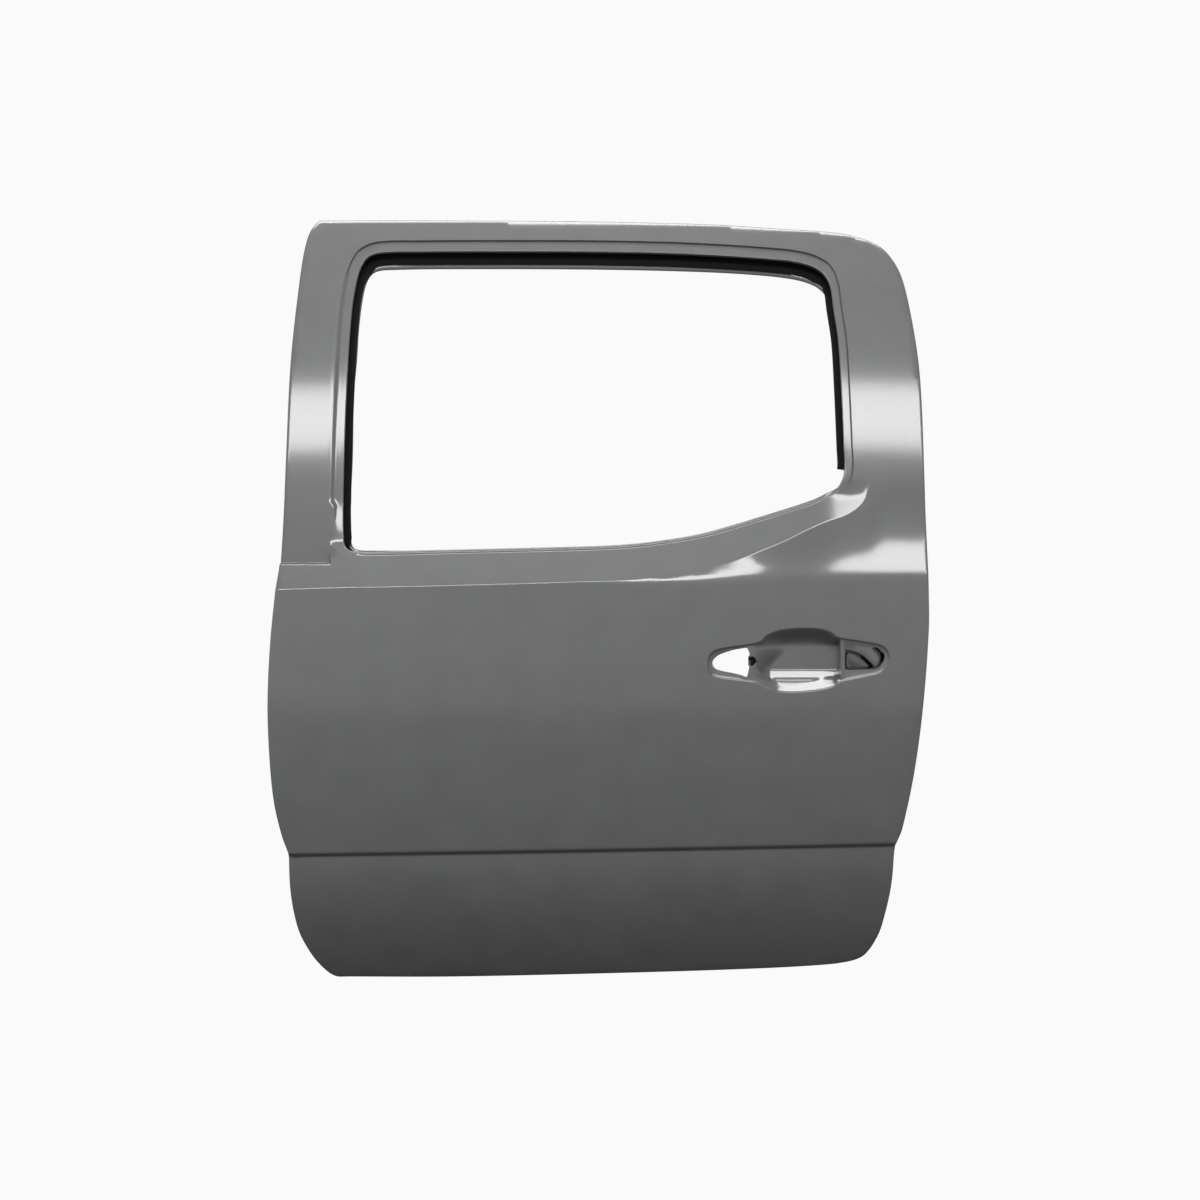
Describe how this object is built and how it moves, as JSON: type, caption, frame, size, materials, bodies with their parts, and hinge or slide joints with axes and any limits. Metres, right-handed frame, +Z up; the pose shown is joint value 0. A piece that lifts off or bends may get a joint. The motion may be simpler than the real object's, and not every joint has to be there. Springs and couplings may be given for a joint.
{
  "type": "car door shell",
  "caption": "Pressed steel rear door shell of a crew-cab pickup: outer skin, inner panel, window frame with glass runs, impact beam and welded reinforcements.",
  "frame": {"origin": "on the outer face of the upper hinge pad, midway between its two bolt holes", "axes": "+X from the hinge edge towards the latch edge, +Y from the outer face towards the cabin, +Z up the closed door"},
  "size_m": [0.9671, 0.2214, 1.1481],
  "materials": {
    "grey_primer": "semi-gloss grey dip primer",
    "inner_grey_primer": "satin grey dip primer",
    "brace_grey_primer": "satin grey dip primer on braces",
    "bare_steel": "plain steel",
    "mastic": "matt black anti-flutter mastic"
  },
  "bodies": {
    "root": {"outer_panel": "grey_primer", "inner_panel": "inner_grey_primer", "front_run_channel": "inner_grey_primer", "header_run_channel": "inner_grey_primer", "rear_run_channel": "inner_grey_primer", "outer_belt_reinforcement": "brace_grey_primer", "inner_belt_reinforcement": "brace_grey_primer", "impact_beam": "brace_grey_primer", "impact_beam_front_bracket": "brace_grey_primer", "impact_beam_rear_bracket": "brace_grey_primer", "hinge_reinforcement": "brace_grey_primer", "upper_hinge_tapping_plate": "bare_steel", "lower_hinge_tapping_plate": "bare_steel", "check_strap_reinforcement": "bare_steel", "latch_reinforcement": "brace_grey_primer", "handle_reinforcement": "brace_grey_primer", "lock_cylinder_bracket": "brace_grey_primer", "front_pillar_reinforcement": "brace_grey_primer", "rear_pillar_reinforcement": "brace_grey_primer", "front_corner_gusset": "brace_grey_primer", "rear_corner_gusset": "brace_grey_primer", "mastic_pad_1": "mastic", "mastic_pad_2": "mastic", "mastic_pad_3": "mastic", "mastic_pad_4": "mastic", "weld_nut_1": "bare_steel", "weld_nut_2": "bare_steel", "weld_nut_3": "bare_steel", "weld_nut_4": "bare_steel", "weld_nut_5": "bare_steel", "weld_nut_6": "bare_steel", "weld_nut_7": "bare_steel", "weld_nut_8": "bare_steel"}
  },
  "joints": []
}
